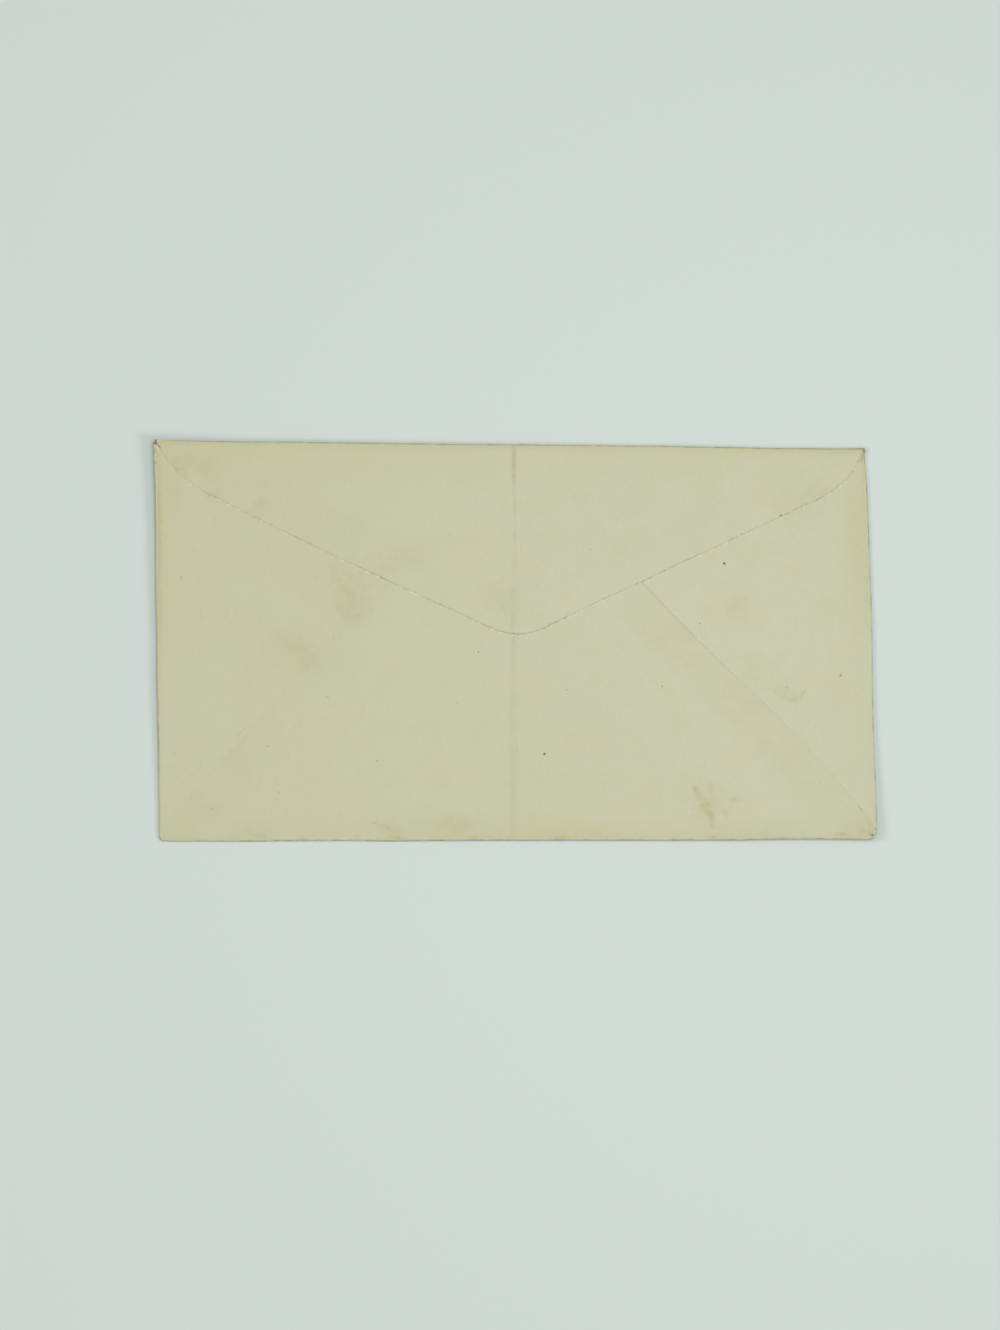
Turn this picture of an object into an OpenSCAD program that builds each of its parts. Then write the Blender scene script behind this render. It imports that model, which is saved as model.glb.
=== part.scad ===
// A closed paper envelope, cut from one sheet, folded and gummed.
// It lies with its address side down on the XY plane and its flaps up.
// Units are millimetres. The origin is the middle of its underside,
// +X runs along the long side and +Y runs towards the fold of the top flap.

/* [Envelope] */
// Length between the two side folds, outside
envelope_w = 165.1; // [150:0.1:190]
// Height between the bottom fold and the top fold, outside
envelope_h = 92.1; // [84:0.1:105]
// Thickness of the sheet
paper_t = 0.12; // [0.08:0.01:0.3]
// Empty height of the pocket, between front panel and side flaps
pocket_gap = 0.3; // [0.1:0.05:2]
// How far the folds stop short of each corner
corner_notch = 0.5; // [0.2:0.1:1.5]

/* [Top flap] */
// Depth of the top flap, from its fold to its tip
top_flap_depth = 44.4; // [36:0.1:60]
// Radius of the rounded tip
top_flap_tip_r = 14; // [11:0.5:25]
// Where the straight edge ends, measured in from the side fold
shoulder_in = 13.2; // [9:0.1:17]
// Where the straight edge ends, measured down from the top fold
shoulder_drop = 13; // [11:0.1:20]

/* [Bottom flap] */
// Height of the bottom flap, from its fold to its top edge
bottom_flap_h = 68; // [60:0.5:76]
// Slope of its two slanted edges
seam_angle = 46.4; // [43:0.1:52]
// Where a slanted edge starts, measured in from the side fold
seam_in = 4.3; // [3:0.1:7]
// Where it starts, measured up from the bottom fold
seam_up = 8.2; // [7:0.1:12]
// Radius of its two upper corners
bottom_flap_corner_r = 9; // [3:0.5:14]

/* [Side flaps] */
// Reach of a side flap, from its fold to its tip
side_flap_reach = 62; // [56:0.5:68]
// Radius of its tip
side_flap_tip_r = 8; // [4:0.5:11]
// Width of side flap that lies under the bottom flap along the seam
seam_overlap = 10; // [8.6:0.1:14]
// Distance between the ends of a side flap and the outside of the other folds
side_flap_clearance = 1.2; // [0.9:0.1:3]

/* [Gum] */
// Thickness of the gum film
gum_t = 0.03; // [0.01:0.01:0.1]
// Width of the gum line along each seam
seam_gum_w = 7.6; // [4:0.1:8]
// Width of the gum line along the edge of the top flap
top_gum_w = 8; // [4:0.1:9]
// Distance between a cut edge and its gum line
gum_inset = 0.8; // [0.2:0.1:1.5]
// Bare length at the lower end of each seam
seam_gum_start = 5; // [3:0.5:15]

/* [Centre crease] */
// Width of the crease left by folding the envelope in half
crease_w = 0.9; // [0.4:0.1:2]
// Depth of the crease
crease_depth = 0.08; // [0.02:0.01:0.1]
// Slant of the crease
crease_slant = 1.6; // [0:0.1:3]

/* [Wear] */
// Radius of the bottom corner that has been blunted
blunt_corner_r = 1.6; // [0.8:0.1:4]

/* [Hidden] */
$fn = 48;

// undersides of the layers, from the address side up
side_z = paper_t + pocket_gap;
bottom_z = side_z + paper_t + gum_t;
top_z = bottom_z + paper_t + gum_t;
stack_t = top_z + paper_t;

// outside radii of the folded edges
side_r = (side_z + paper_t) / 2;
bottom_r = (bottom_z + paper_t) / 2;
top_r = stack_t / 2;

// places where the flat sheet ends and a fold begins
side_x = envelope_w / 2 - side_r;
bottom_y = -envelope_h / 2 + bottom_r;
top_y = envelope_h / 2 - top_r;
fold_end_x = envelope_w / 2 - corner_notch;

// straight paper on both sides of a bend, which the flat layers overlap
leg = 0.3;
// cutting tools reach this far past what they cut
past = 5;
// chords in each quarter or so of a rounded outline
steps = 12;

function arc(c, r, from, to) =
    [for (i = [0 : steps])
        let (a = from + (to - from) * i / steps)
        [c[0] + r * cos(a), c[1] + r * sin(a)]];

// Centre of the circle that touches a straight edge at p and passes through q.
// n points from p into the flap, square to the edge.
function shoulder_centre(p, n, q) =
    let (d = q - p)
    p + n * (d * d) / (2 * (d * n));

// arc about c from point p to point q
function arc_between(c, p, q) =
    arc(c, norm(p - c), atan2(p[1] - c[1], p[0] - c[0]), atan2(q[1] - c[1], q[0] - c[0]));

function mirrored(points) =
    [for (i = [len(points) - 1 : -1 : 0]) [-points[i][0], points[i][1]]];

// right end of the straight edge of the top flap
shoulder = [envelope_w / 2 - shoulder_in, envelope_h / 2 - shoulder_drop];
// circle of the tip, and the angle at which the straight edge leaves it
tip_c = [0, envelope_h / 2 - top_flap_depth + top_flap_tip_r];
tip_d = norm(shoulder - tip_c);
tip_a = atan2(shoulder[1] - tip_c[1], shoulder[0] - tip_c[0])
    - acos(top_flap_tip_r / tip_d);
edge_a = tip_a + 90;
// circle of the shoulder, which meets the straight edge and the fold's end
shoulder_c = shoulder_centre(shoulder, [-sin(edge_a), cos(edge_a)], [fold_end_x, top_y]);

module top_flap_outline() {
    half = concat(
        arc(tip_c, top_flap_tip_r, -90, tip_a),
        arc_between(shoulder_c, shoulder, [fold_end_x, top_y]));
    rest = [for (i = [1 : len(half) - 1]) half[i]];
    polygon(concat(mirrored(rest), half));
}

// a line that follows the edge of the top flap at a distance inside it
function inside_edge(inset) =
    let (r = top_flap_tip_r - inset)
    let (t = tip_c + r * [cos(tip_a), sin(tip_a)])
    let (half = concat(arc(tip_c, r, -90, tip_a), [t + tip_d * [cos(edge_a), sin(edge_a)]]))
    let (rest = [for (i = [1 : len(half) - 1]) half[i]])
    concat(mirrored(rest), half);

function backwards(points) = [for (i = [len(points) - 1 : -1 : 0]) points[i]];

module top_gum_outline() {
    polygon(concat(
        inside_edge(gum_inset),
        backwards(inside_edge(gum_inset + top_gum_w))));
}

// the straight seam starts here: s runs up along it and n is the distance
// from it, towards the side flap
seam_start = [envelope_w / 2 - seam_in, -envelope_h / 2 + seam_up];
function on_seam(s, n) =
    seam_start + s * [-cos(seam_angle), sin(seam_angle)]
    + n * [sin(seam_angle), cos(seam_angle)];

flap_top_y = -envelope_h / 2 + bottom_flap_h;
seam_l = (flap_top_y - seam_start[1]) / sin(seam_angle);
seam_c = shoulder_centre(seam_start, [-sin(seam_angle), -cos(seam_angle)],
    [fold_end_x, bottom_y]);

module bottom_flap_outline() {
    c = [on_seam(seam_l, 0)[0] - bottom_flap_corner_r * tan(seam_angle / 2),
        flap_top_y - bottom_flap_corner_r];
    half = concat(
        arc_between(seam_c, [fold_end_x, bottom_y], seam_start),
        arc(c, bottom_flap_corner_r, 90 - seam_angle, 90));
    polygon(concat(half, mirrored(half)));
}

// tip circle of the right side flap, touching its lower edge
side_tip_x = envelope_w / 2 - side_flap_reach + side_flap_tip_r;
side_tip_y = seam_start[1]
    + (side_flap_tip_r - seam_overlap - sin(seam_angle) * (side_tip_x - seam_start[0]))
    / cos(seam_angle);
side_tip_c = [side_tip_x, side_tip_y];
side_low_y = -envelope_h / 2 + side_flap_clearance;
side_high_y = envelope_h / 2 - side_flap_clearance;
// angle at which the upper edge leaves the tip circle
side_d = [side_x, side_high_y] - side_tip_c;
side_a = atan2(side_d[1], side_d[0]) + acos(side_flap_tip_r / norm(side_d));
// where the lower edge turns along the seam
side_turn_x = seam_start[0]
    - (seam_overlap + cos(seam_angle) * (side_low_y - seam_start[1])) / sin(seam_angle);

module side_flap_outline() {
    polygon(concat(
        [[side_x, side_high_y]],
        arc(side_tip_c, side_flap_tip_r, side_a, 270 - seam_angle),
        [[side_turn_x, side_low_y], [side_x, side_low_y]]));
}

module seam_gum_outline() {
    polygon([
        on_seam(seam_gum_start, -gum_inset),
        on_seam(seam_l, -gum_inset),
        on_seam(seam_l, -gum_inset - seam_gum_w),
        on_seam(seam_gum_start, -gum_inset - seam_gum_w)]);
}

// a flat layer of the stack, its outline given as a child
module layer(z, t) {
    translate([0, 0, z])
    linear_extrude(height = t)
    children();
}

// a prism of an outline that runs through the whole stack
module through() {
    translate([0, 0, -past])
    linear_extrude(height = stack_t + 2 * past)
    children();
}

// an endless layer with the groove of the centre crease in it
module creased_slab(z, t) {
    w = envelope_w;
    translate([0, envelope_h / 2, z])
    rotate([0, 0, -crease_slant])
    rotate([90, 0, 0])
    translate([0, 0, -past])
    linear_extrude(height = envelope_h + 3 * past)
    polygon([
        [-w, 0],
        [-crease_w / 2, 0],
        [0, -crease_depth],
        [crease_w / 2, 0],
        [w, 0],
        [w, t],
        [crease_w / 2, t],
        [0, t - crease_depth],
        [-crease_w / 2, t],
        [-w, t]]);
}

// section of a folded edge: half a ring of paper that bulges towards +X
module bend_section(r) {
    intersection() {
        difference() {
            circle(r = r);
            circle(r = r - paper_t);
        }
        translate([0, -2 * r])
        square([2 * r, 4 * r]);
    }
    for (y = [-r, r - paper_t])
    translate([-leg, y])
    square([leg, paper_t]);
}

// folded edge of radius r, running along Y, on the right of x
module side_bend(x, r, length) {
    translate([x, length / 2, r])
    rotate([90, 0, 0])
    linear_extrude(height = length)
    bend_section(r);
}

// folded edge of radius r, running along X, beyond y
module end_bend(y, r, length) {
    translate([0, y, 0])
    rotate([0, 0, 90])
    side_bend(0, r, length);
}

module front_panel() {
    layer(0, paper_t)
    translate([-side_x, bottom_y])
    square([2 * side_x, top_y - bottom_y]);
}

module side_flap() {
    layer(side_z, paper_t)
    side_flap_outline();
    side_bend(side_x, side_r, side_high_y - side_low_y);
}

module bottom_flap() {
    intersection() {
        creased_slab(bottom_z, paper_t);
        through() bottom_flap_outline();
    }
    rotate([0, 0, 180])
    end_bend(-bottom_y, bottom_r, 2 * fold_end_x);
}

module top_flap() {
    intersection() {
        creased_slab(top_z, paper_t);
        through() top_flap_outline();
    }
    end_bend(top_y, top_r, 2 * fold_end_x);
}

// gum between a side flap and the bottom flap
module seam_gum() {
    intersection() {
        layer(side_z + paper_t, gum_t) seam_gum_outline();
        through() side_flap_outline();
        through() bottom_flap_outline();
    }
}

// gum between the top flap and the bottom flap
module top_gum() {
    intersection() {
        creased_slab(bottom_z + paper_t, gum_t);
        through() top_gum_outline();
        through() bottom_flap_outline();
    }
}

// what the blunted corner has lost
module corner_wear() {
    r = blunt_corner_r;
    through()
    translate([envelope_w / 2 - r, -envelope_h / 2 + r])
    difference() {
        translate([0, -r - past])
        square([r + past, r + past]);
        circle(r = r);
    }
}

// small dent that the crease leaves in the top fold
module crease_notch() {
    through()
    polygon([
        [-crease_w / 2, envelope_h / 2 + past],
        [-crease_w / 2, envelope_h / 2],
        [0, envelope_h / 2 - crease_depth],
        [crease_w / 2, envelope_h / 2],
        [crease_w / 2, envelope_h / 2 + past]]);
}

module envelope() {
    color([0.78, 0.78, 0.67])
    difference() {
        union() {
            front_panel();
            side_flap();
            mirror([1, 0, 0]) side_flap();
            seam_gum();
            mirror([1, 0, 0]) seam_gum();
            bottom_flap();
            top_gum();
            top_flap();
        }
        corner_wear();
        crease_notch();
    }
}

envelope();
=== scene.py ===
"""The looks of an old paper envelope, lying closed with its flaps up.

It is one sheet of paper: a flat blank with four flaps is cut, and then folded by a
formula. Lengths are in millimetres until the mesh is made, and angles in degrees.
"""

import math

import bpy
import numpy as np
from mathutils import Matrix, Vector
from mathutils.geometry import delaunay_2d_cdt
from mathutils.kdtree import KDTree


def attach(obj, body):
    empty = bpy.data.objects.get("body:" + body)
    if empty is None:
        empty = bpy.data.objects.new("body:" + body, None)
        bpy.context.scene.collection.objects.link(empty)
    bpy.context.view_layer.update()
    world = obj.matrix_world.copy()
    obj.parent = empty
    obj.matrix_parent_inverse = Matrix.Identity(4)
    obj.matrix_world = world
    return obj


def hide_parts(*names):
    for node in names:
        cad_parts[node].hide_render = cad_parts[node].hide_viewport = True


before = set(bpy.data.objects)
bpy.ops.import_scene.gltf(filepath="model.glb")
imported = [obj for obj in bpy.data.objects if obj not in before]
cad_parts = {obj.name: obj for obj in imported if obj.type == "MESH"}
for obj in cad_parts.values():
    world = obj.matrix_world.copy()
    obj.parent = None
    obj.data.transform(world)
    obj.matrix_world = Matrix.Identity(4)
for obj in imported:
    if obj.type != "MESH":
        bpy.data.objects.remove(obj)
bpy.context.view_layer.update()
MM = 0.001

# ---- sizes, as in the part's source ----
WIDTH, HEIGHT = 165.1, 92.1
PAPER, GUM = 0.12, 0.03
FLAP_DEPTH, TIP_R = 44.4, 14.0  # of the top flap
SHOULDER_IN, SHOULDER_DROP = 13.2, 13.0  # where its straight edges end, from the corners
BOTTOM_FLAP_H, BOTTOM_CORNER_R = 68.0, 9.0
SEAM_ANGLE, SEAM_IN, SEAM_UP = 46.4, 4.3, 8.2  # slope and lower end of the slanted seams
SIDE_REACH, SIDE_TIP_R, OVERLAP = 62.0, 8.0, 10.0
BLUNT_R = 1.6  # of the lower right corner

# ---- what the photograph adds ----
NOTCH = 0.4  # the folds stop this far from the corners
SIDE_CLEAR = 0.7  # and the side flaps this far
POCKET = 0.08  # room between the front and the side flaps at the folds
PUFF = 0.4  # and how much more there is in the middle
TWIST, LEFT_LIFT = 0.8, 0.52  # how far two corners and the left side lift
SAG = 0.03  # how unevenly the address side lies
DRAPE = 3.5  # width over which a layer comes down past the edge of the one below
FALL = 5  # and past a fold
PRESSED = 2.5  # width over which a cut edge is pressed thin
CREASE_TOP, CREASE_SLOPE = 0.08, 0.027  # the middle crease at the top edge, and its lean
CREASE_FRONT, CREASE_FLAPS = 0.02, 0.045  # its depth in the front panel and in the flaps
CREASE_NARROW, CREASE_WIDE = 0.55, 2.2  # half-widths of its valley and of the dip around it
CUT_WANDER, FOLD_WANDER = 0.04, 0.05  # how uneven the cut edges and the folds are
BOW = 0.5  # how far the right side bows out
NICK, NICK_W, NICK_DEEP = 0.22, 0.5, 1.5  # the nick in the top fold at the crease

# ---- the mesh ----
GRID, JITTER = 0.95, 0.12  # spacing of its points, and how far they are moved at random
BEND_STEPS = 8  # steps across a fold
BESIDE_FOLD = 0.35  # distance of the rows of points beside a fold
ALONG_CREASE = 0.8  # spacing of the points along the crease
CREASE_ROWS = np.array([0.15, 0.45, 0.85, 1.3, 1.9, 2.6])  # and their rows on each side
STEP_ROWS = (0, 0.9, 1.8, 2.7, 3.6)  # rows beside the edge of a layer below
# room that the points of each kind leave around those that are already there
FOLD_ROOM, CREASE_ROOM, STEP_ROOM, GRID_ROOM = 0.05, 0.12, 0.25, 0.55

# heights between the middles of the layers, the folds' radii and their lines
SHEET = PAPER + GUM
SIDE_H = PAPER + POCKET
BOTTOM_H, TOP_H = SIDE_H + SHEET, SIDE_H + 2 * SHEET
SIDE_R, BOTTOM_R, TOP_R = SIDE_H / 2, BOTTOM_H / 2, TOP_H / 2
SIDE_X = WIDTH / 2 - SIDE_R - PAPER / 2
BOTTOM_Y = -HEIGHT / 2 + BOTTOM_R + PAPER / 2
TOP_Y = HEIGHT / 2 - TOP_R - PAPER / 2
FOLD_X = WIDTH / 2 - NOTCH
SIDE_LOW, SIDE_HIGH = -HEIGHT / 2 + SIDE_CLEAR, HEIGHT / 2 - SIDE_CLEAR
SEAM_START = np.array([WIDTH / 2 - SEAM_IN, -HEIGHT / 2 + SEAM_UP])


# ======== outlines of the flaps, folded, seen from above ========


def step(x, low, high):
    """A smooth step from 0 at low to 1 at high."""
    t = np.clip((x - low) / (high - low), 0, 1)
    return t * t * (3 - 2 * t)


def bump(x, middle, width):
    """A smooth bump that is 1 at the middle."""
    return np.exp(-(((x - middle) / width) ** 2))


def direction(angle):
    """The unit vector at an angle from +X towards +Y."""
    return np.array([math.cos(math.radians(angle)), math.sin(math.radians(angle))])


def angle_of(v):
    """The angle of a vector from +X towards +Y."""
    return math.degrees(math.atan2(v[1], v[0]))


def arc(centre, r, start, end, spacing=0.7):
    """Points of an arc between two angles."""
    n = max(4, int(abs(math.radians(end - start)) * r / spacing) + 1)
    a = np.radians(np.linspace(start, end, n + 1))
    return np.asarray(centre) + r * np.stack([np.cos(a), np.sin(a)], 1)


def shoulder(p, n, q):
    """Arc from p, where it touches an edge whose normal towards the arc's middle is n, to q."""
    d = q - p
    c = p + n * (d @ d) / (2 * (d @ n))
    start, end = angle_of(p - c), angle_of(q - c)
    end += 360 * round((start - end) / 360)
    return arc(c, np.linalg.norm(p - c), start, end)


def evenly(points, spacing=0.9):
    """The same line, with its long straight stretches divided."""
    out = [points[0]]
    for a, b in zip(points[:-1], points[1:]):
        n = max(1, round(np.linalg.norm(b - a) / spacing))
        out += [a + (b - a) * (i + 1) / n for i in range(n)]
    return np.array(out)


def mirrored(points):
    """The line on the other side of the Y axis, in the same sense round the blank."""
    return points[::-1] * [-1, 1]


def top_flap_edge():
    """Cut edge of the top flap, from the left end of its fold to the right end."""
    p = np.array([WIDTH / 2 - SHOULDER_IN, HEIGHT / 2 - SHOULDER_DROP])
    c = np.array([0, HEIGHT / 2 - FLAP_DEPTH + TIP_R])
    leave = angle_of(p - c) - math.degrees(math.acos(TIP_R / np.linalg.norm(p - c)))
    right = np.concatenate([
        arc(c, TIP_R, -90, leave),
        shoulder(p, direction(leave + 180), np.array([FOLD_X, TOP_Y])),
    ])
    edge = evenly(np.concatenate([mirrored(right)[:-1], right]))
    # the cut isn't quite the same on the right
    x = edge[:, 0]
    edge[:, 1] += 0.18 * bump(x, 20, 15) + 0.2 * bump(x, 67, 6) - 0.5 * bump(x, 79, 2.6)
    edge[:, 1] -= 0.41 * bump(x, -40, 18) + 0.12 * bump(x, -22, 12)
    return edge


def bottom_flap_edge():
    """Cut edge of the bottom flap, from the right end of its fold to the left end."""
    outward = direction(90 - SEAM_ANGLE)
    along = direction(180 - SEAM_ANGLE)
    top = -HEIGHT / 2 + BOTTOM_FLAP_H
    corner = SEAM_START + along * (top - SEAM_START[1]) / along[1]
    c = [
        corner[0] - BOTTOM_CORNER_R * math.tan(math.radians(SEAM_ANGLE / 2)),
        top - BOTTOM_CORNER_R,
    ]
    low = shoulder(SEAM_START, outward, np.array([FOLD_X, BOTTOM_Y]))[::-1]
    half = np.concatenate([low, arc(c, BOTTOM_CORNER_R, 90 - SEAM_ANGLE, 90)])
    edge = evenly(np.concatenate([half, mirrored(half)]))
    # the right seam bulges a little in its lower part
    x = edge[:, 0]
    bulge = 0.8 * step(x, 46, 54) * (1 - step(x, 66, 78))
    return edge + bulge[:, None] * outward


def side_flap_edge():
    """Cut edge of the right side flap, from the upper end of its fold to the lower end."""
    s, k = math.sin(math.radians(SEAM_ANGLE)), math.cos(math.radians(SEAM_ANGLE))
    x = WIDTH / 2 - SIDE_REACH + SIDE_TIP_R
    tip = np.array([x, SEAM_START[1] + (SIDE_TIP_R - OVERLAP - s * (x - SEAM_START[0])) / k])
    high, low = np.array([SIDE_X, SIDE_HIGH]), np.array([SIDE_X, SIDE_LOW])
    reach = high - tip
    leave = angle_of(reach) + math.degrees(math.acos(SIDE_TIP_R / np.linalg.norm(reach)))
    turn = np.array([
        SEAM_START[0] - (OVERLAP + k * (SIDE_LOW - SEAM_START[1])) / s,
        SIDE_LOW,
    ])
    return evenly(np.concatenate([
        [high],
        arc(tip, SIDE_TIP_R, leave, 270 - SEAM_ANGLE),
        [turn, low],
    ]))


def waves(points, seed, count, longest, shortest):
    """A smooth random field of about unit height."""
    rng = np.random.default_rng(seed)
    total = np.zeros(len(points))
    for _ in range(count):
        k = direction(rng.uniform(0, 360)) * 2 * math.pi / rng.uniform(shortest, longest)
        total += np.sin(points @ k + rng.uniform(0, 7))
    return total / math.sqrt(count)


def hand_cut(edge, seed):
    """Small waves in a cut edge, fading to nothing at its two ends."""
    t = np.gradient(edge, axis=0)
    s = np.concatenate([[0], np.cumsum(np.linalg.norm(np.diff(edge, axis=0), axis=1))])
    n = np.stack([-t[:, 1], t[:, 0]], 1) / np.linalg.norm(t, axis=1)[:, None]
    fade = np.clip(np.minimum(s, s[-1] - s) / 3, 0, 1)
    wave = waves(np.stack([s, 0 * s], 1), seed, 9, 30, 2.5)
    return edge + n * (CUT_WANDER * wave * fade)[:, None]


TOP_EDGE = hand_cut(top_flap_edge(), 1)
BOTTOM_EDGE = hand_cut(bottom_flap_edge(), 2)
RIGHT_EDGE = hand_cut(side_flap_edge(), 3)
LEFT_EDGE = hand_cut(side_flap_edge(), 4) * [-1, 1]


# ======== distances ========


def to_line(points, line):
    """Distance from each point to an open line."""
    best = np.full(len(points), 1e9)
    for a, b in zip(line[:-1], line[1:]):
        d = b - a
        t = np.clip(((points - a) @ d) / max(d @ d, 1e-12), 0, 1)
        off = points - a - t[:, None] * d
        best = np.minimum(best, off[:, 0] ** 2 + off[:, 1] ** 2)
    return np.sqrt(best)


def inside(points, loop):
    """Which points lie inside a closed line."""
    x, y = points.T
    result = np.zeros(len(points), bool)
    for (ax, ay), (bx, by) in zip(loop, np.roll(loop, -1, 0)):
        if ay != by:
            crosses = (ay > y) != (by > y)
            result ^= crosses & (x < ax + (y - ay) * (bx - ax) / (by - ay))
    return result


def beyond(points, edge):
    """Signed distance from the cut edge of a flap, below zero on the flap's side."""
    d = to_line(points, edge)
    return np.where(inside(points, edge), -d, d)


# ======== heights of the layers, by place on the table ========


def crease_x(y):
    """Where the middle crease runs."""
    lean = CREASE_TOP - CREASE_SLOPE * (HEIGHT / 2 - y)
    return lean + 0.3 * bump(y, 25, 11) + 0.1 * step(-y, 26, 34)


def groove(p, depth):
    """The middle crease: a narrow valley in a shallow wide one."""
    x = p[:, 0] - crease_x(p[:, 1])
    return depth * (0.7 * bump(x, 0, CREASE_NARROW) + 0.5 * bump(x, 0, CREASE_WIDE))


def lie(p):
    """How far the address side stands off the table."""
    x, y = (p / [WIDTH / 2, HEIGHT / 2]).T
    corners = TWIST * np.abs(np.clip((y - x) / 2, -1.1, 1.1)) ** 3
    left = LEFT_LIFT * step(-x, 0.7, 1.02) * step(y, -1.3, -0.1)
    return corners + left + SAG * waves(p, 11, 5, 90, 35)


def puff(p):
    """How much more room the pocket has than at the folds."""
    x = np.clip(np.abs(p[:, 0]) / SIDE_X, 0, 1)
    y = np.clip((p[:, 1] - BOTTOM_Y) / (TOP_Y - BOTTOM_Y) * 2 - 1, -1, 1)
    return PUFF * (1 - x**4) * (1 - y * y) * (1 + 0.25 * waves(p, 12, 6, 60, 18))


def cover(edge, p):
    """One over a flap, falling to nothing beside its edge."""
    return 1 - step(beyond(p, edge), 0.02, DRAPE)


def pressed(p, layer):
    """How thin a layer is pressed where its cut edge hardly shows, 0 to 1."""
    x = p[:, 0]
    if layer == "bottom":
        seams = 0.85 * step(-x, 26, 32) + 0.6 * step(x, 47, 53)
        return seams * bump(beyond(p, BOTTOM_EDGE), 0, PRESSED)
    # the top flap's edge is pressed unevenly, at two short places and at both shoulders
    along = waves(np.stack([x, 0 * x], 1), 41, 7, 16, 3.5)
    down = 0.75 * step(along, -0.9, 1.1) + bump(x, -25.6, 2.4) + 0.6 * bump(x, 15.8, 1.4)
    down = np.maximum(down, 0.8 * step(-x, 68, 77)) + 0.4 * step(x, 66, 72)
    return np.minimum(down, 0.8) * bump(beyond(p, TOP_EDGE), 0, PRESSED)


def heights(p, layer):
    """Heights of the middle of a layer's paper."""
    z = lie(p)
    if layer == "front":
        return z - groove(p, CREASE_FRONT)
    z = z + SIDE_H + puff(p)
    if layer == "side":
        return z
    z = z - groove(p, CREASE_FLAPS)
    z = z - (GUM + PAPER / 2) * pressed(p, layer)
    over_sides = np.maximum(cover(RIGHT_EDGE, p), cover(LEFT_EDGE, p))
    if layer == "bottom":
        fallen = step(p[:, 1] - BOTTOM_Y, 0, FALL)
        return z + SHEET * (1 - fallen * (1 - over_sides))
    fallen = step(TOP_Y - p[:, 1], 0, FALL)
    below = over_sides + cover(BOTTOM_EDGE, p)
    return z + SHEET * (2 - fallen * (2 - below))


# bent tips: the corner that each is at, its width, and how far it has gone in x and y
TIPS = [
    (-1, 1, 1.5, -0.3, 0.25),  # the upper left one sticks out a little
    (1, 1, 1.1, 0.6, 0.18),  # the upper right one is square
    (1, -1, 2.0, -0.35, 0.15),  # the lower right one is worn back
]


def worn(p):
    """Places after wear: uneven folds, a bowed side, a nick and bent corners."""
    px, py = p.T
    nick = np.exp(-(((px - crease_x(py)) / NICK_W) ** 2))
    x = px + FOLD_WANDER * waves(p, 21, 9, 40, 4)
    y = py + FOLD_WANDER * waves(p, 22, 9, 40, 4)
    y = y - NICK * nick * step(py, TOP_Y - NICK_DEEP, TOP_Y)
    # the right side bows out, and the left one leans out at its top and in at its bottom
    x = x + BOW * step(px, 40, WIDTH / 2) * np.exp(-(((py - 17) / 26) ** 4))
    x = x - 0.2 * step(-px, 50, WIDTH / 2) * step(py, 34, 42)
    x = x + 0.1 * step(-px, 60, WIDTH / 2) * step(-py, 10, 30)
    # the top and bottom folds have come in, most of all at the right
    y = y - step(py, 20, HEIGHT / 2) * (0.14 + 0.25 * bump(px, 66, 14))
    y = y + step(-py, 20, HEIGHT / 2) * (0.1 + 0.1 * bump(px, 66, 16))
    for right, up, width, dx, dy in TIPS:
        away = (px - right * WIDTH / 2) ** 2 + (py - up * HEIGHT / 2) ** 2
        tip = np.exp(-away / width**2)
        x, y = x + dx * tip, y + dy * tip
    # the square corner at the lower right is pressed into a quarter circle
    cx, cy = WIDTH / 2 - BLUNT_R, -HEIGHT / 2 + BLUNT_R
    dx, dy = x - cx, cy - y
    r = np.maximum(np.hypot(dx, dy), 1e-9)
    squeeze = np.where((dx > 0) & (dy > 0), np.maximum(dx, dy) / r, 1)
    return np.stack([cx + dx * squeeze, cy - dy * squeeze], 1)


# ======== the blank ========

# which way each flap lies, its fold line, the fold's radius, its edge from one end of
# the fold to the other going round the blank, and the ends of its fold
FLAPS = {
    "top": (1, 1, TOP_Y, TOP_R, TOP_EDGE[::-1]),
    "left": (0, -1, SIDE_X, SIDE_R, LEFT_EDGE),
    "bottom": (1, -1, -BOTTOM_Y, BOTTOM_R, BOTTOM_EDGE[::-1]),
    "right": (0, 1, SIDE_X, SIDE_R, RIGHT_EDGE[::-1]),
}


def unfold(points, flap):
    """Places on the blank of points of a folded flap."""
    axis, way, line, radius, _ = FLAPS[flap]
    out = points.copy()
    out[:, axis] = way * (2 * line + math.pi * radius) - points[:, axis]
    return out


def across_fold(point, flap):
    """Points on the blank that cross a fold, from the front panel to the flap."""
    axis, way, line, radius, _ = FLAPS[flap]
    out = np.repeat([point], BEND_STEPS, 0)
    out[:, axis] = way * (line + math.pi * radius * np.arange(BEND_STEPS) / BEND_STEPS)
    return out


def blank_outline():
    """The whole cut outline of the sheet, going round it once."""
    parts = []
    for flap, (*_, edge) in FLAPS.items():
        parts += [
            across_fold(edge[0], flap),
            unfold(edge, flap),
            across_fold(edge[-1], flap)[::-1],
        ]
    return np.concatenate(parts)


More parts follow.
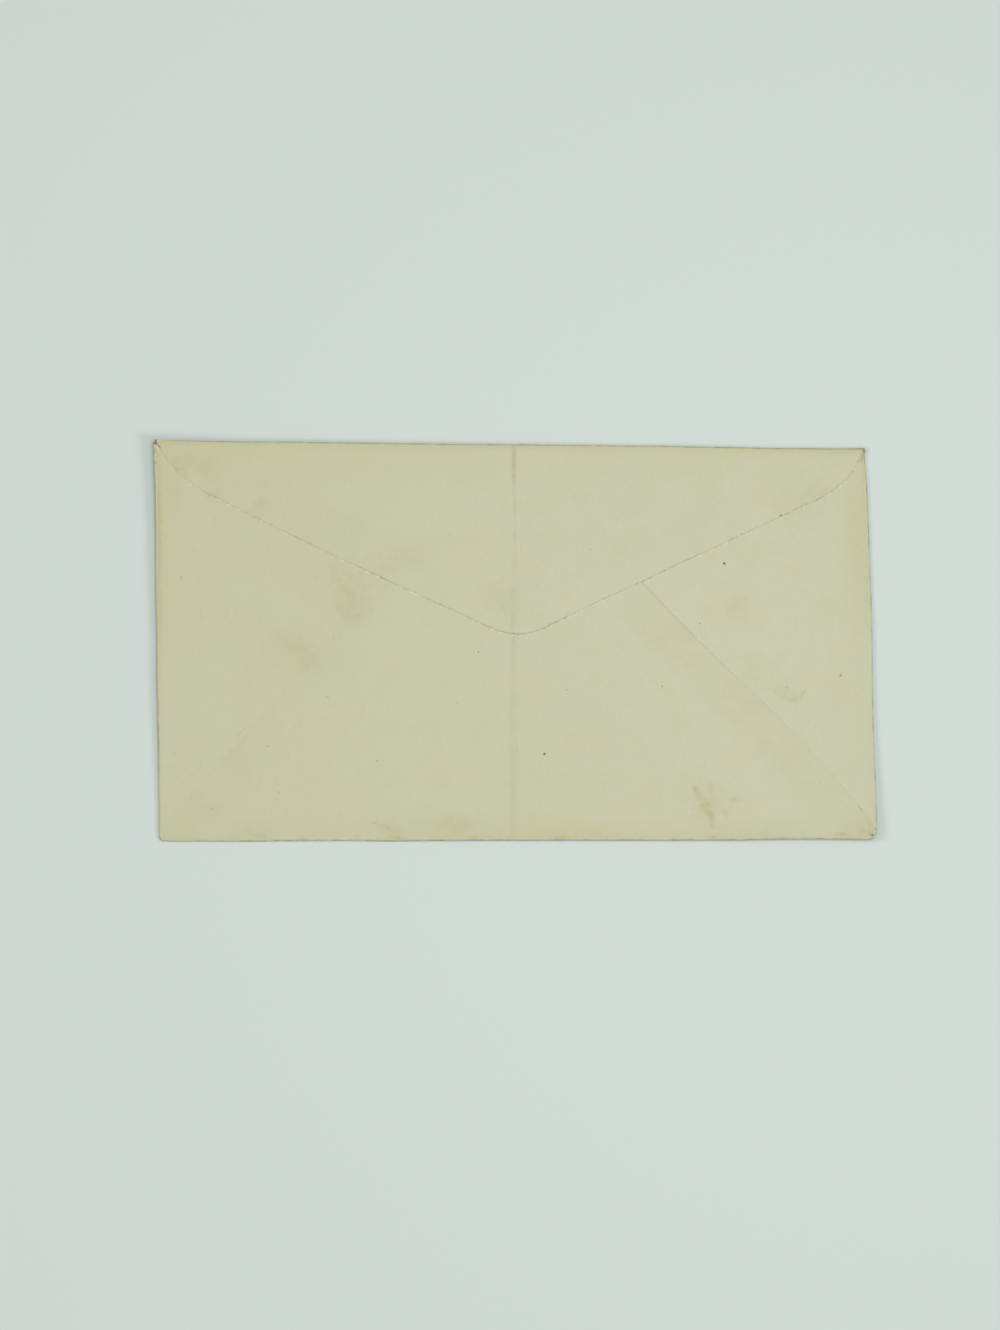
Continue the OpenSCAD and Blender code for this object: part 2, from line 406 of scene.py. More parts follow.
def fold(blank):
    """Folded places of points of the blank: seen from above before wear, and heights.

    The third value is how far a point has turned over, from 0 on the front panel to 1
    on a flap.
    """
    place, z, turned = blank.copy(), heights(blank, "front"), np.zeros(len(blank))
    for flap, (axis, way, line, radius, _) in FLAPS.items():
        layer = flap if axis == 1 else "side"
        past = way * blank[:, axis] - line
        on = past > 1e-9
        turn = np.clip(past[on] / radius, 0, math.pi)
        bent = turn < math.pi
        at = blank[on].copy()
        reach = np.where(bent, radius * np.sin(turn), math.pi * radius - past[on])
        at[:, axis] = way * (line + reach)
        place[on] = at
        at_fold = at.copy()
        at_fold[:, axis] = way * line
        low, high = heights(at_fold, "front"), heights(at_fold, layer)
        rise = low + (high - low) * (1 - np.cos(turn)) / 2
        z[on] = np.where(bent, rise, heights(at, layer))
        turned[on] = turn / math.pi
    return place, z, turned


def rows(line, offsets, normal):
    """Points of copies of a line, at distances along a normal."""
    return np.concatenate([line + o * np.asarray(normal) for o in offsets])


def blank_points(outline):
    """Points of the mesh: close together at folds, creases and steps, even elsewhere."""
    sets = []
    # the folds
    for flap, (axis, way, line, radius, edge) in FLAPS.items():
        n = round(np.linalg.norm(edge[-1] - edge[0]) / GRID)
        along = edge[0] + (edge[-1] - edge[0]) * (np.arange(1, n) / n)[:, None]
        along[:, axis] = way * line
        offsets = math.pi * radius * np.arange(BEND_STEPS + 1) / BEND_STEPS
        normal = [0, 0]
        normal[axis] = way
        offsets = [-BESIDE_FOLD, *offsets, offsets[-1] + BESIDE_FOLD]
        sets.append((rows(along, offsets, normal), FOLD_ROOM))
    # the crease, on the three layers that it marks
    y = np.arange(BOTTOM_Y + 0.6, TOP_Y - 0.5, ALONG_CREASE)
    middle = np.stack([crease_x(y), y], 1)
    crease = rows(middle, [*-CREASE_ROWS[::-1], *CREASE_ROWS], [1, 0])
    top_part = crease[~(beyond(crease, TOP_EDGE) > -0.3)]
    bottom_part = crease[~(beyond(crease, BOTTOM_EDGE) > -0.3)]
    layers = [crease, unfold(top_part, "top"), unfold(bottom_part, "bottom")]
    sets.append((np.concatenate(layers), CREASE_ROOM))
    # the steps where a flap comes down past the edges below it
    for below, above, flap in [
        (RIGHT_EDGE, BOTTOM_EDGE, "bottom"),
        (LEFT_EDGE, BOTTOM_EDGE, "bottom"),
        (RIGHT_EDGE, TOP_EDGE, "top"),
        (LEFT_EDGE, TOP_EDGE, "top"),
        (BOTTOM_EDGE, TOP_EDGE, "top"),
    ]:
        t = np.gradient(below, axis=0)
        out = np.stack([t[:, 1], -t[:, 0]], 1) / np.linalg.norm(t, axis=1)[:, None]
        half = len(below) // 2
        if beyond(below[half : half + 1] + 0.5 * out[half], below)[0] < 0:
            out = -out
        beside = np.concatenate([below + o * out for o in STEP_ROWS])
        sets.append((unfold(beside[beyond(beside, above) < -0.4], flap), STEP_ROOM))
    # everywhere else
    low, high = outline.min(0), outline.max(0)
    x = np.arange(low[0], high[0], GRID)
    y = np.arange(low[1], high[1], GRID * math.sqrt(0.75))
    gx, gy = np.meshgrid(x, y)
    gx[1::2] += GRID / 2
    jitter = np.random.default_rng(5).uniform(-JITTER, JITTER, (gx.size, 2))
    sets.append((np.stack([gx.ravel(), gy.ravel()], 1) + jitter, GRID_ROOM))

    points = outline
    for candidates, room in sets:
        candidates = candidates[inside(candidates, outline)]
        tree = KDTree(len(points))
        for i, (px, py) in enumerate(points):
            tree.insert((px, py, 0), i)
        tree.balance()
        clear = [tree.find((px, py, 0))[2] > room for px, py in candidates]
        points = np.concatenate([points, candidates[clear]])
    return points


# ======== where the paper is worn, on the flaps' side ========

# Places and lengths are millimetres in the envelope's own frame, and angles are degrees.
# Strengths go from 0 to about 1. In the functions, step() and bump() take places, and
# what they are multiplied by is a strength.

# x, y, half-length, half-width, angle, strength
STAINS = [
    (-38.8, 11.5, 5.0, 4.8, 20, 0.6),
    (-38.2, 5.8, 3.2, 2.8, 0, 0.45),
    (-28.0, 18.2, 7.5, 2.4, 15, 0.4),
    (-69.2, 33.6, 2.2, 1.3, 0, 0.5),
    (-58.8, 30.2, 2.4, 1.6, 0, 0.4),
    (-43.0, 17.0, 2.4, 2.0, 0, 0.3),
    (-52.0, -1.0, 6.0, 3.4, 165, 0.45),
    (-48.0, -4.6, 3.8, 2.8, 10, 0.4),
    (42.8, -37.5, 4.4, 4.4, 0, 0.45),
    (49.0, -37.5, 2.6, 1.6, 0, 0.25),
    (62.6, -11.6, 3.6, 2.2, 0, 0.3),
    (-77.8, 40.2, 2.2, 1.5, 120, 0.9),
    (-73.0, 40.0, 5.0, 2.0, 150, 0.45),
    (-79.0, 33.0, 2.5, 4.0, 0, 0.3),
    (51.0, 8.0, 2.2, 2.6, 0, 0.5),
    (70.5, 36.0, 3.5, 2.0, 30, 0.5),
    (31.0, 1.0, 4.0, 2.2, 130, 0.3),
    (-5.0, 10.5, 3.5, 5.5, 0, 0.3),
    (65.0, 33.0, 5.0, 3.5, 20, 0.35),
    (79.0, 20.0, 2.5, 16.0, 0, 0.3),
    (78.0, -43.0, 3.6, 2.2, 30, 0.5),
    (-15.6, -42.6, 5.2, 1.8, 175, 0.6),
    (-29.0, -43.6, 3.6, 1.6, 160, 0.5),
    (14.0, -44.5, 7.0, 1.6, 0, 0.4),
    (-62.0, -44.0, 6.0, 1.8, 0, 0.35),
    (56.0, -44.0, 12.0, 1.8, 0, 0.35),
    (-62.0, 32.0, 24.0, 12.0, 160, 0.13),
    (0.0, -28.0, 34.0, 18.0, 0, 0.12),
]

# small brown marks, in the same way
SMUDGES = [
    (40.4, -34.2, 1.5, 0.9, 115, 0.9),
    (41.3, -35.9, 1.9, 1.3, 118, 0.8),
    (42.7, -38.2, 2.0, 1.5, 125, 1.0),
    (43.7, -40.3, 1.9, 1.2, 105, 1.3),
    (44.0, -42.3, 1.5, 0.7, 92, 1.0),
    (43.9, -33.9, 1.8, 0.8, 105, 0.7),
    (49.5, -36.7, 2.0, 0.9, 2, 0.9),
    (47.2, -40.0, 0.9, 1.6, 0, 0.5),
    (59.8, -11.7, 1.2, 0.9, 120, 0.35),
    (61.8, -13.0, 1.9, 0.7, 150, 0.55),
    (64.2, -13.4, 1.5, 0.75, 8, 0.75),
    (66.1, -12.0, 1.5, 0.5, 62, 0.95),
    (-33.6, -41.9, 1.7, 0.4, 160, 1.1),
    (-31.2, -42.8, 1.8, 0.6, 158, 0.9),
    (-28.2, -43.7, 2.0, 0.8, 165, 0.6),
    (-59.6, -44.7, 1.7, 0.8, 0, 1.0),
    (-37.6, -45.0, 0.9, 0.6, 0, 0.7),
    (-50.1, -45.6, 1.8, 0.5, 0, 1.2),
    (-11.3, -45.4, 1.7, 0.6, 0, 1.8),
    (8.9, -45.4, 2.5, 0.65, 0, 1.8),
    (-28.4, -45.2, 2.6, 0.6, 0, 1.3),
    (44.1, -45.3, 2.2, 0.6, 0, 1.3),
    (74.2, -44.7, 2.4, 0.7, 0, 1.2),
    (79.4, -43.9, 1.8, 0.9, 10, 0.7),
    (80.5, -42.2, 1.9, 0.5, 110, 1.2),
    (80.9, -44.3, 1.3, 1.0, 130, 1.2),
    (79.5, 44.6, 1.5, 0.5, 0, 0.5),
]

# dark scratches, in the same way
SCRATCHES = [
    (-72.5, 5.9, 2.0, 0.13, 90, 0.14),
    (-77.0, 14.1, 0.8, 0.2, 90, 0.16),
    (-33.5, 7.2, 0.9, 0.15, 90, 0.13),
    (-65.4, 39.9, 0.9, 0.12, 90, 0.09),
    (-57.4, 36.3, 1.5, 0.12, 90, 0.08),
    (-69.1, 27.6, 1.4, 0.12, 84, 0.1),
    (-63.6, -21.0, 2.2, 0.13, 46, 0.16),
    (78.5, -38.6, 1.3, 0.17, 122, 0.22),
    (69.3, -32.6, 0.3, 0.2, 120, 0.15),
    (74.2, -33.4, 0.8, 0.13, 135, 0.14),
    (46.0, 20.5, 1.0, 0.1, 80, 0.1),
    (-0.8, -25.0, 1.4, 0.2, 75, 0.1),
    # dirt where the flap's edge meets the upper corners
    (82.0, 43.7, 1.5, 0.25, 75, 0.4),
    (81.8, 45.6, 1.0, 0.25, 5, 0.3),
    (-81.7, 44.5, 0.7, 0.3, 130, 0.3),
    (-41.3, 1.5, 0.7, 0.12, 90, 0.14),
    (-42.4, 0.6, 0.6, 0.2, 25, 0.12),
    # and nicks in the left side
    (-82.6, 43.4, 0.9, 0.22, 90, 0.3),
    (-82.6, 40.7, 0.5, 0.25, 90, 0.35),
    (-82.7, 37.9, 0.9, 0.15, 90, 0.2),
    (-82.7, 29.8, 0.6, 0.2, 90, 0.25),
    (-82.6, 27.9, 0.3, 0.15, 90, 0.2),
]

# x, y, radius, strength
SPECKS = [
    (48.5, 18.4, 0.34, 1.0),
    (62.4, 29.8, 0.27, 0.65),
    (75.1, -7.7, 0.33, 0.5),
    (52.9, 25.2, 0.22, 0.4),
    (-48.6, -6.0, 0.24, 0.25),
    (-43.9, -12.9, 0.22, 0.3),
    (5.6, -26.1, 0.36, 1.0),
    (-9.2, -2.6, 0.24, 0.65),
    (17.2, 21.3, 0.22, 0.4),
    (-15.2, 24.7, 0.24, 0.25),
    (-57.8, -24.4, 0.22, 0.35),
    (-55.3, -34.8, 0.22, 0.35),
    (-70.7, -38.6, 0.22, 0.35),
    (-79.1, -26.1, 0.2, 0.25),
    (33.3, -10.4, 0.28, 0.42),
    (11.0, -11.2, 0.3, 0.35),
    (-14.4, -14.4, 0.2, 0.3),
    (-32.8, -27.6, 0.3, 0.25),
    (42.4, 4.2, 0.28, 0.35),
    (62.3, -10.6, 0.3, 0.2),
    (4.7, 12.8, 0.24, 0.15),
    # the dirty tips of the corners
    (-82.8, 45.5, 0.7, 1.0),
    (82.4, 45.3, 0.4, 0.6),
    (81.2, -44.9, 0.45, 0.6),
    (80.6, -44.6, 0.3, 0.35),
    (82.0, -43.4, 0.25, 0.4),
    # a dark spot in the crease beside the flap's tip
    (-1.0, 1.8, 0.3, 0.4),
]


def stained(p):
    """Strength of the stains at each place, with ragged edges."""
    q = p + 0.7 * np.stack([waves(p, 31, 8, 9, 3), waves(p, 32, 8, 9, 3)], 1)
    total = np.zeros(len(p))
    for x, y, length, width, angle, strength in STAINS:
        d = q - [x, y]
        a = direction(angle)
        r = np.hypot(d @ a / length, d @ [-a[1], a[0]] / width)
        total += strength * np.exp(-(r**2) * 0.9)
    return total


def handled(p):
    """How brown the folds are, by place."""
    x, y = p.T
    left = step(-x, 60, 78) * (0.08 + 0.8 * bump(y, 22, 24))
    top = step(y, 25, 42) * (0.15 + 0.2 * step(x, 25, 75))
    bottom = step(-y, 25, 42) * (0.12 + 0.15 * bump(x, 62, 20))
    right = 0.08 * step(x, 60, 78)
    return np.maximum.reduce([left, top, bottom, right])


def seam_dirt(p):
    """How dark the line along the seams is, by place."""
    x = p[:, 0]
    right = step(x, 25, 29) * (0.85 - 0.7 * step(x, 47, 53))
    return right + 0.6 * bump(x, 59, 3.5) + 0.2 * bump(x, -63, 3)


def gummed(p):
    """How much the gum of the seams has yellowed the paper, by place."""
    x = p[:, 0]
    return step(x, 20, 44) - 0.5 * step(x, 58, 66) + step(-x, 55, 66)


def yellowed(p):
    """How wide and strong the yellow along the folds is, by place."""
    x, y = p.T
    left = step(-x, 60, 75) * (0.1 + 0.5 * step(y, -10, 20))
    right = step(x, 60, 75) * (0.25 + 0.75 * step(y, -5, 15))
    top = 0.8 * step(y, 25, 38)
    bottom = step(-y, 25, 38) * bump(x, 5, 45)
    return np.maximum.reduce([left, right, top, bottom])


def edge_dirt(p):
    """How dark the edge of the top flap is, by place."""
    return 0.45 + 1.6 * bump(p[:, 0], -1, 10)


def dashed(p):
    """How clear the dashes of dirt along the edge of the top flap are, by place."""
    return 1 - 0.8 * step(-p[:, 0], 62, 74) + 0.8 * bump(p[:, 0], 60, 6)


def rim_dirt(p):
    """How dark the folds are at the very outside, by place."""
    return 1 - step(-p[:, 0], 75, 81) * (0.8 * step(p[:, 1], -20, 5) + 0.2 * step(p[:, 1], 10, 25))


def painted_light_left_fold(p):
    """How much painted light makes the very outside of the left fold paler, by place."""
    return (0.25 + 0.3 * step(p[:, 1], 5, 20)) * step(-p[:, 0], 75, 81)


def crease_dirt_and_shade(p):
    """How dark the line of dirt and painted shade in the crease is, by place."""
    y = p[:, 1]
    return 0.2 + 0.17 * step(y, 18, 24) + 0.48 * step(y, 35, 40) + 0.12 * waves(p, 33, 5, 9, 3)


def crease_painted_shade(p):
    """How dark the soft band of painted shade beside the crease is, by place."""
    return (1 - step(p[:, 1], 14, 24)) * (0.75 + 0.3 * waves(p, 34, 6, 14, 4))


def aged(p):
    """How much the whole sheet has yellowed, by place."""
    return 0.35 + 0.65 * step(-p[:, 0], -30, 75)


FIELDS = [
    aged,
    handled,
    yellowed,
    rim_dirt,
    painted_light_left_fold,
    edge_dirt,
    dashed,
    seam_dirt,
    crease_dirt_and_shade,
    crease_painted_shade,
]

# ======== the mesh ========


def make_sheet():
    """The folded sheet, with both faces of the paper and what the material reads."""
    outline = blank_outline()
    points = blank_points(outline)
    loop = list(range(len(outline)))
    found = delaunay_2d_cdt([Vector(p) for p in points], [], [loop], 1, 1e-6)
    blank = np.array([tuple(v) for v in found[0]])
    faces = np.array(found[2])

    place, z, turned = fold(blank)
    middle = np.column_stack([worn(place), z])

    # normals that point into the envelope
    a, b, c = (middle[faces[:, i]] for i in range(3))
    face_normals = np.cross(b - a, c - a)
    normals = np.zeros_like(middle)
    for i in range(3):
        np.add.at(normals, faces[:, i], face_normals)
    normals /= np.linalg.norm(normals, axis=1)[:, None]

    n = len(middle)
    on_bottom_flap = (blank[:, 1] < BOTTOM_Y - 0.5).astype(float)
    on_top_flap = (blank[:, 1] > TOP_Y + 0.5).astype(float)
    thin = on_bottom_flap * pressed(place, "bottom") + on_top_flap * pressed(place, "top")
    half = (PAPER / 2 * (1 - thin))[:, None]
    outer, inner = middle - normals * half, middle + normals * half
    verts = np.concatenate([outer, inner])
    verts[:, 2] -= verts[:, 2].min()

    edges = {}
    for f in faces:
        for i in range(3):
            edges[int(f[i]), int(f[(i + 1) % 3])] = True
    rim = [(s, e) for s, e in edges if (e, s) not in edges]
    quads = [(s, e, e + n, s + n) for s, e in rim]

    mesh = bpy.data.meshes.new("folded_sheet")
    mesh.from_pydata(
        (verts * MM).tolist(),
        [],
        [*faces[:, ::-1].tolist(), *(faces + n).tolist(), *quads],
    )
    mesh.polygons.foreach_set("use_smooth", [True] * len(mesh.polygons))
    sharp = set()
    for s, e in rim:
        sharp.add((min(s, e), max(s, e)))
        sharp.add((min(s, e) + n, max(s, e) + n))
    mesh.attributes.new("sharp_edge", "BOOLEAN", "EDGE")
    mesh.attributes["sharp_edge"].data.foreach_set(
        "value", [tuple(sorted(e.vertices)) in sharp for e in mesh.edges]
    )

    def keep(name, values):
        """Stores a value at each point, the same on both faces of the paper."""
        layer = mesh.attributes.new(name, "FLOAT", "POINT")
        layer.data.foreach_set("value", np.concatenate([values, values]).astype(np.float32))

    x, y = place.T
    keep("turned", turned)
    keep("from_flap_edge", beyond(place, TOP_EDGE))
    keep("from_seam", np.where(on_top_flap > 0, 99, beyond(place, BOTTOM_EDGE)))
    keep("from_outline", np.minimum(WIDTH / 2 - np.abs(x), HEIGHT / 2 - np.abs(y)))
    keep("from_crease", x - crease_x(y))
    keep("stain", stained(place))
    for field in FIELDS:
        keep(field.__name__, field(place))
    keep("gummed", on_bottom_flap * gummed(place))
    mesh.update()
    mesh.validate()
    return mesh


# ======== the paper ========


def srgb(r, g, b):
    """A colour given as on a screen, 0 to 255, as Blender wants it."""
    light = (((c / 255 + 0.055) / 1.055) ** 2.4 if c > 10 else c / 3294.6 for c in (r, g, b))
    return (*light, 1)


COLOURS = {
    # the sheet, its clouds, spots and streaks, and its fibres
    "least_aged": srgb(205, 207, 180),
    "most_aged": srgb(201, 201, 168),
    "cool_cloud": srgb(200, 204, 174),
    "warm_cloud": srgb(204, 199, 167),
    "green_cloud": srgb(197, 201, 165),
    "pale_spot": srgb(208, 208, 186),
    "dark_streak": srgb(176, 178, 138),
    "pale_streak": srgb(216, 216, 196),
    "fibre": srgb(180, 178, 150),
    # gum, stains, and the outside of the folds: browning, dirt, worn chips and painted light
    "gum": srgb(196, 195, 155),
    "stain": srgb(182, 176, 118),
    "yellow_fold": srgb(196, 194, 150),
    "brown_fold": srgb(193, 184, 139),
    "rim": srgb(128, 128, 90),
    "worn_chips_and_painted_light": srgb(216, 212, 184),
    # dirt and painted shade in the crease, dirt along the cut edges, pale flecks with painted
    # highlight beside them, and specks
    "crease_line": srgb(140, 134, 104),
    "crease_painted_shade": srgb(140, 138, 112),
    "edge_line": srgb(140, 132, 98),
    "edge_dash": srgb(126, 110, 66),
    "edge_fibres_and_highlight": srgb(222, 220, 200),
    "speck": srgb(92, 88, 62),
    "floor": srgb(211, 221, 215),
}
SIDES_APART = 70.0  # distance in the noise between the two sides of the envelope
BUMP_HEIGHT = 0.00003  # of the fine relief, in metres


def paper_material():
    """Aged paper. It is coloured in steps, from the sheet itself to the specks on it."""
    material = bpy.data.materials.new("aged_paper")
    material.use_nodes = True
    tree = material.node_tree
    tree.nodes.clear()

    def add(kind, inputs=None, output=0, **settings):
        """A node with its settings and inputs, and the socket that it gives."""
        node = tree.nodes.new("ShaderNode" + kind)
        for name, value in settings.items():
            setattr(node, name, value)
        for name, value in (inputs or {}).items():
            if isinstance(value, bpy.types.NodeSocket):
                tree.links.new(value, node.inputs[name])
            else:
                node.inputs[name].default_value = value
        return node.outputs[output] if node.outputs else None

    def maths(operation, *values):
        """The result of a Math node."""
        return add("Math", dict(enumerate(values)), operation=operation)

    def between(value, low, high, first=0.0, last=1.0):
        """value's way from low to high, smoothly, as first to last."""
        inputs = {
            "Value": value,
            "From Min": low,
            "From Max": high,
            "To Min": first,
            "To Max": last,
        }
        return add("MapRange", inputs, interpolation_type="SMOOTHSTEP")

    def times(*values):
        """The product of two or more values."""
        total = values[0]
        for value in values[1:]:
            total = maths("MULTIPLY", total, value)
        return total

    def mix(factor, one, other):
        """A colour between one and other."""
        return add("Mix", {0: factor, 6: one, 7: other}, 2, data_type="RGBA")

    def value_at(name):
        """A value that the mesh keeps at its points."""
        return add("Attribute", {}, 2, attribute_name=name)

    def noise(size, detail=3.0, rough=0.55, vector=None, distort=0.0):
        """Noise whose features are about size millimetres."""
        inputs = {
            "Vector": vector or place,
            "Scale": 1 / size,
            "Detail": detail,
            "Roughness": rough,
            "Distortion": distort,
        }
        return add("TexNoise", inputs)

    # places in millimetres, with the two sides of the envelope far apart
    turned = value_at("turned")
    flaps_side = between(turned, 0.35, 0.65)
    at = add("TexCoord", {}, 3)
    at = add("VectorMath", {0: at, "Scale": 1 / MM}, operation="SCALE")
    offset = add("CombineXYZ", {2: times(flaps_side, SIDES_APART)})
    place = add("VectorMath", {0: at, 1: offset}, operation="ADD")

    # the sheet, unevenly yellowed
    small = noise(1.6, 4.0, 0.65)
    medium = noise(14.0, 4.0, 0.6)
    color = mix(value_at("aged"), COLOURS["least_aged"], COLOURS["most_aged"])
    color = mix(between(noise(40.0, 2.0), 0.42, 0.6, 0, 0.4), color, COLOURS["cool_cloud"])
    color = mix(between(medium, 0.48, 0.7, 0, 0.45), color, COLOURS["warm_cloud"])
    color = mix(between(medium, 0.5, 0.32, 0, 0.45), color, COLOURS["green_cloud"])
    color = mix(between(small, 0.5, 0.72, 0, 0.25), color, COLOURS["pale_spot"])

    # short marks along the grain of the paper
    stretched = add("VectorMath", {0: place, 1: (4.0, 0.5, 1.0)}, operation="MULTIPLY")
    streaks = noise(1.0, 1.0, 0.5, vector=stretched)
    color = mix(between(streaks, 0.66, 0.76, 0, 0.22), color, COLOURS["dark_streak"])
    color = mix(between(streaks, 0.34, 0.25, 0, 0.2), color, COLOURS["pale_streak"])

    # yellower over the gum of the seams
    seam = value_at("from_seam")
    gum = times(between(seam, -11.0, -6.5), between(seam, 0.05, -0.25), value_at("gummed"))
    gum = times(gum, between(noise(6.0), 0.35, 0.65, 0.15, 0.5))
    color = mix(gum, color, COLOURS["gum"])

    # the sides of the marks are uneven
    wander = add("TexNoise", {"Vector": at, "Scale": 1.8, "Detail": 3.0}, 1)
    wander = add("VectorMath", {0: wander, 1: (0.5, 0.5, 0.5)}, operation="SUBTRACT")
    wander = add("VectorMath", {0: wander, "Scale": 0.7}, operation="SCALE")
    near = add("VectorMath", {0: at, 1: wander}, operation="ADD")
    near = add("VectorMath", {0: near, 1: (1, 1, 0)}, operation="MULTIPLY")

    def marks(table, solid):
        """The strength of the marks in a table, each fading outside its solid part."""
        total = None
        for x, y, length, width, angle, strength in table:
            if length == width:
                away = add("VectorMath", {0: near, 1: (x, y, 0)}, 1, operation="DISTANCE")
                size = length
            else:
                inputs = {
                    "Vector": near,
                    "Location": (x, y, 0),
                    "Rotation": (0, 0, math.radians(angle)),
                    "Scale": (length, width, 1),
                }
                away = add("Mapping", inputs, vector_type="TEXTURE")
                away = add("VectorMath", {0: away}, 1, operation="LENGTH")
                size = 1
            mark = between(away, 1.2 * size, solid * size, 0, strength)
            total = mark if total is None else maths("MAXIMUM", total, mark)
        return total

    # stains
    stain = maths("ADD", value_at("stain"), marks(SMUDGES, 0.1))
    stain = times(stain, between(noise(1.8, 5.0, 0.7), 0.35, 0.62, 0.5, 1.1), flaps_side)
    color = mix(times(stain, 0.5), color, COLOURS["stain"])

    # browned along the folds, with dirt and worn chips on the outside, and painted light on the
    # left fold
    outline = value_at("from_outline")

    def ragged(size, amount):
        """The distance from the outline, with ragged steps of about size millimetres."""
        wander = maths("SUBTRACT", noise(size, 4.0, 0.65), 0.5)
        return maths("ADD", outline, times(wander, amount))

    yellow = times(between(ragged(9.0, 8.0), 9.0, 0.0, 0, 0.45), value_at("yellowed"))
    color = mix(yellow, color, COLOURS["yellow_fold"])
    brown = times(between(ragged(2.5, 2.2), 1.8, 0.5), value_at("handled"))
    color = mix(brown, color, COLOURS["brown_fold"])
    broken = between(noise(2.4, 4.0, 0.7), 0.38, 0.62, 0.35, 1.3)
    broken = times(broken, value_at("rim_dirt"))
    rim = times(between(ragged(0.9, 0.3), 0.45, 0.05, 0, 0.6), broken)
    color = mix(rim, color, COLOURS["rim"])
    chips = between(noise(0.6, 2.0, 0.6), 0.58, 0.68, 0, 0.5)
    chips = times(chips, between(outline, 0.7, 0.35))
    # painted light: the very outside of the left fold is painted paler, as if lit
    painted_light_rim = times(between(outline, 0.45, 0.1), value_at("painted_light_left_fold"))
    color = mix(maths("MAXIMUM", chips, painted_light_rim), color, COLOURS["worn_chips_and_painted_light"])

    # dirt and painted shade in the middle crease, with a soft band of painted shade beside it
    fine = between(noise(1.3, 3.0, 0.7), 0.3, 0.65, 0.4, 1.2)
    from_crease = value_at("from_crease")
    crease = between(maths("ABSOLUTE", from_crease), 0.75, 0.1, 0, 0.3)
    crease = times(crease, value_at("crease_dirt_and_shade"))
    color = mix(times(crease, fine), color, COLOURS["crease_line"])
    # painted shade: a soft darker band on one side of the crease
    crease_shade = maths("ABSOLUTE", maths("SUBTRACT", from_crease, 0.3))
    crease_shade = times(between(crease_shade, 1.5, 0.4, 0, 0.055), value_at("crease_painted_shade"))
    color = mix(crease_shade, color, COLOURS["crease_painted_shade"])

    # dirt along the cut edges that show
    flap_edge = value_at("from_flap_edge")
    on_flap_edge = between(maths("ABSOLUTE", flap_edge), 0.36, 0.05)
    flap_line = times(on_flap_edge, 0.12, value_at("edge_dirt"))
    seam_line = between(maths("ABSOLUTE", seam), 0.4, 0.05, 0, 0.07)
    seam_line = times(seam_line, value_at("seam_dirt"))
    line = times(maths("MAXIMUM", flap_line, seam_line), fine, flaps_side)
    color = mix(line, color, COLOURS["edge_line"])
    dashes = between(noise(0.9, 4.0, 0.75), 0.48, 0.6, 0, 0.26)
    dashes = times(on_flap_edge, dashes, flaps_side, value_at("dashed"))
    color = mix(dashes, color, COLOURS["edge_dash"])

    # pale flecks beside the cut edges: the edges' pale fibres, with painted highlight where a cut
    # edge catches the light
    by_flap = between(maths("ABSOLUTE", maths("SUBTRACT", flap_edge, 0.3)), 0.3, 0.1)
    by_seam = between(maths("ABSOLUTE", maths("SUBTRACT", seam, 0.3)), 0.3, 0.1)
    by_seam = times(by_seam, value_at("seam_dirt"))
    edge_fibres_and_highlight = between(noise(0.8, 2.0, 0.6), 0.52, 0.64, 0, 0.65)
    edge_fibres_and_highlight = times(edge_fibres_and_highlight, maths("MAXIMUM", by_flap, by_seam), flaps_side)
    color = mix(edge_fibres_and_highlight, color, COLOURS["edge_fibres_and_highlight"])

    # specks and scratches
    round_specks = [(x, y, radius, radius, 0, strength) for x, y, radius, strength in SPECKS]
    dirt = times(marks(round_specks + SCRATCHES, 0.45), flaps_side)
    color = mix(dirt, color, COLOURS["speck"])

    # fibres
    fibres = noise(0.55, 2.0, 0.6, distort=1.5)
    color = mix(between(fibres, 0.35, 0.7, 0.0, 0.08), color, COLOURS["fibre"])

    rough = between(noise(3.0, 3.0), 0.3, 0.7, 0.82, 0.93)
    relief = maths("ADD", times(fibres, 0.5), times(small, 0.8))
    relief = maths("ADD", relief, noise(0.22, 2.0))
    relief = add("Bump", {"Height": relief, "Distance": BUMP_HEIGHT, "Strength": 0.4})
    shader = add("BsdfPrincipled", {
        "Base Color": color,
        "Roughness": rough,
        "Normal": relief,
        "Specular IOR Level": 0.25,
    })
    add("OutputMaterial", {"Surface": shader})
    return material


def floor_material():
    """A plain pale surface."""
    material = bpy.data.materials.new("pale_floor")
    material.use_nodes = True
    shader = material.node_tree.nodes["Principled BSDF"]
    shader.inputs["Base Color"].default_value = COLOURS["floor"]
    shader.inputs["Roughness"].default_value = 0.9
    shader.inputs["Specular IOR Level"].default_value = 0.2
    return material


def add_object(name, mesh, material):
    """An object of a mesh with one material, in the scene."""
    item = bpy.data.objects.new(name, mesh)
    mesh.materials.append(material)
    bpy.context.scene.collection.objects.link(item)
    return item


envelope = add_object("folded_sheet", make_sheet(), paper_material())
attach(envelope, "root")
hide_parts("envelope")

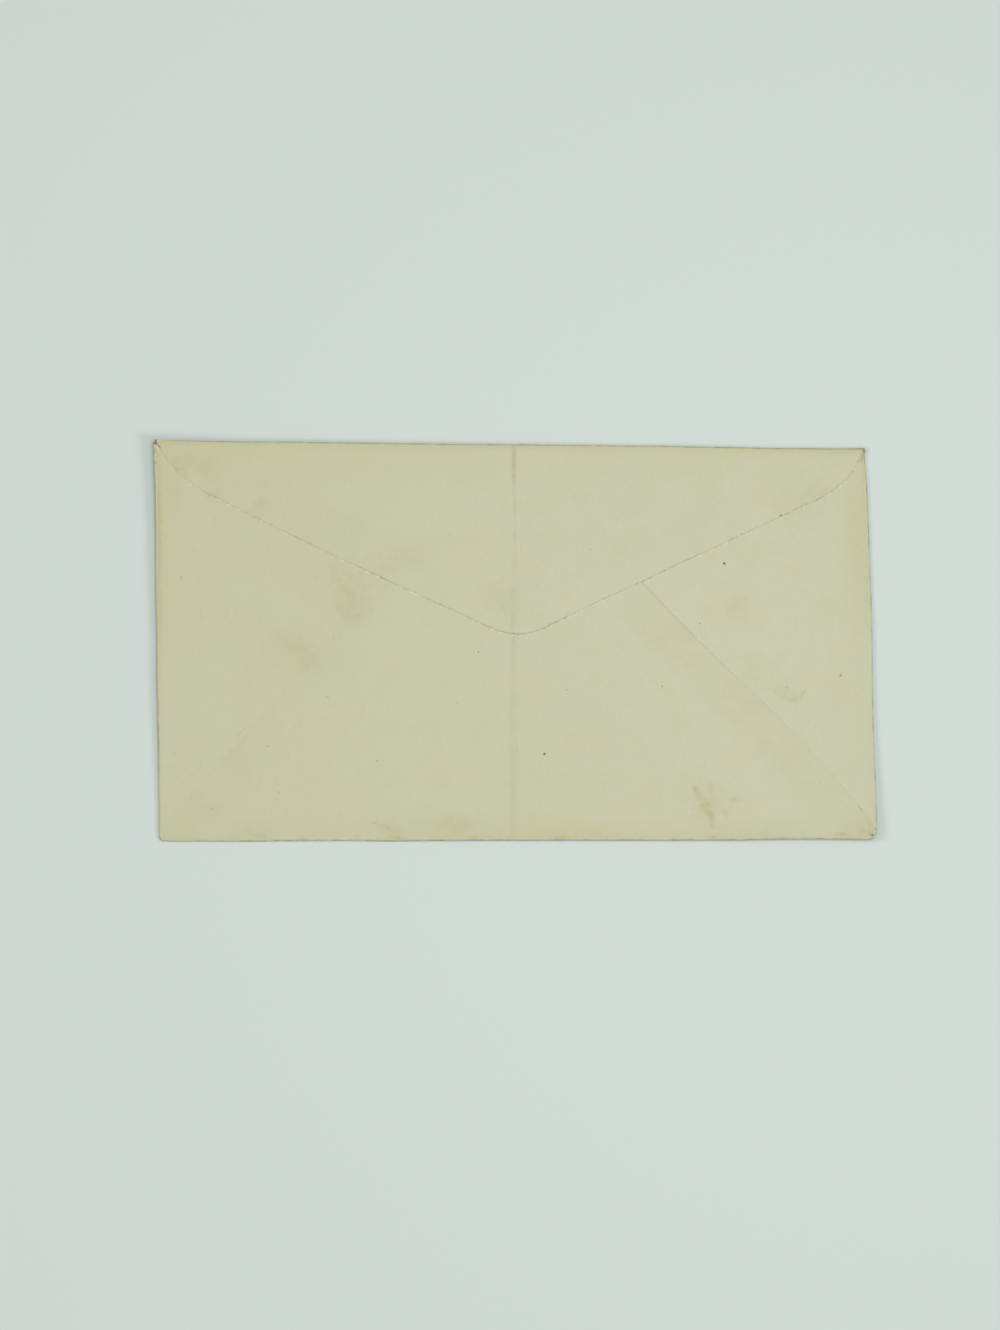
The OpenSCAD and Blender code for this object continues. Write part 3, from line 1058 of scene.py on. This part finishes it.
FLOOR = 4.0  # half its width, in metres
floor_mesh = bpy.data.meshes.new("floor")
floor_corners = [(-FLOOR, -FLOOR, 0), (FLOOR, -FLOOR, 0), (FLOOR, FLOOR, 0), (-FLOOR, FLOOR, 0)]
floor_mesh.from_pydata(floor_corners, [], [(0, 1, 2, 3)])
add_object("floor", floor_mesh, floor_material())

# ======== light and camera ========

ROOM_LIGHT = 0.37
# name, azimuth and elevation, distance and size in metres, share of the light on the floor
SOFTBOXES = [
    ("overhead", 0, 80, 0.62, 0.4, 0.34),
    ("right_front", -28, 24, 3.6, 1.0, 0.16),
    ("left", 176, 24, 3.6, 1.0, 0.16),
]
# the camera that sees the envelope's four corners where the photograph has them
SENSOR, LENS = 36, 135.34
CAMERA_PLACE = (-172.562, -189.788, 1114.7)
CAMERA_TURN = (9.464, -8.396, -1.199)

scene = bpy.context.scene
world = bpy.data.worlds.new("soft_room")
world.use_nodes = True
world.node_tree.nodes["Background"].inputs["Color"].default_value = (1, 1, 1, 1)
world.node_tree.nodes["Background"].inputs["Strength"].default_value = ROOM_LIGHT
scene.world = world


def softbox(name, azimuth, elevation, distance, size, share):
    """A square lamp that faces the envelope. Share is its part of the light on the floor.

    The azimuth is counted from the right (+X) towards the back (+Y).
    """
    up = math.sin(math.radians(elevation))
    flat = direction(azimuth) * math.sqrt(1 - up * up)
    place = Vector((*flat, up)) * distance
    lamp = bpy.data.lights.new(name, "AREA")
    lamp.shape, lamp.size = "SQUARE", size
    lamp.energy = share * math.pi**2 * distance**2 / up
    item = bpy.data.objects.new(name, lamp)
    item.location = place
    item.rotation_euler = (-place).to_track_quat("-Z", "Y").to_euler()
    scene.collection.objects.link(item)


for box in SOFTBOXES:
    softbox(*box)

camera = bpy.data.cameras.new("camera")
camera.sensor_width, camera.lens = SENSOR, LENS
view = bpy.data.objects.new("camera", camera)
view.location = Vector(CAMERA_PLACE) * MM
view.rotation_euler = [math.radians(a) for a in CAMERA_TURN]
scene.collection.objects.link(view)
scene.camera = view
scene.view_settings.view_transform = "Standard"
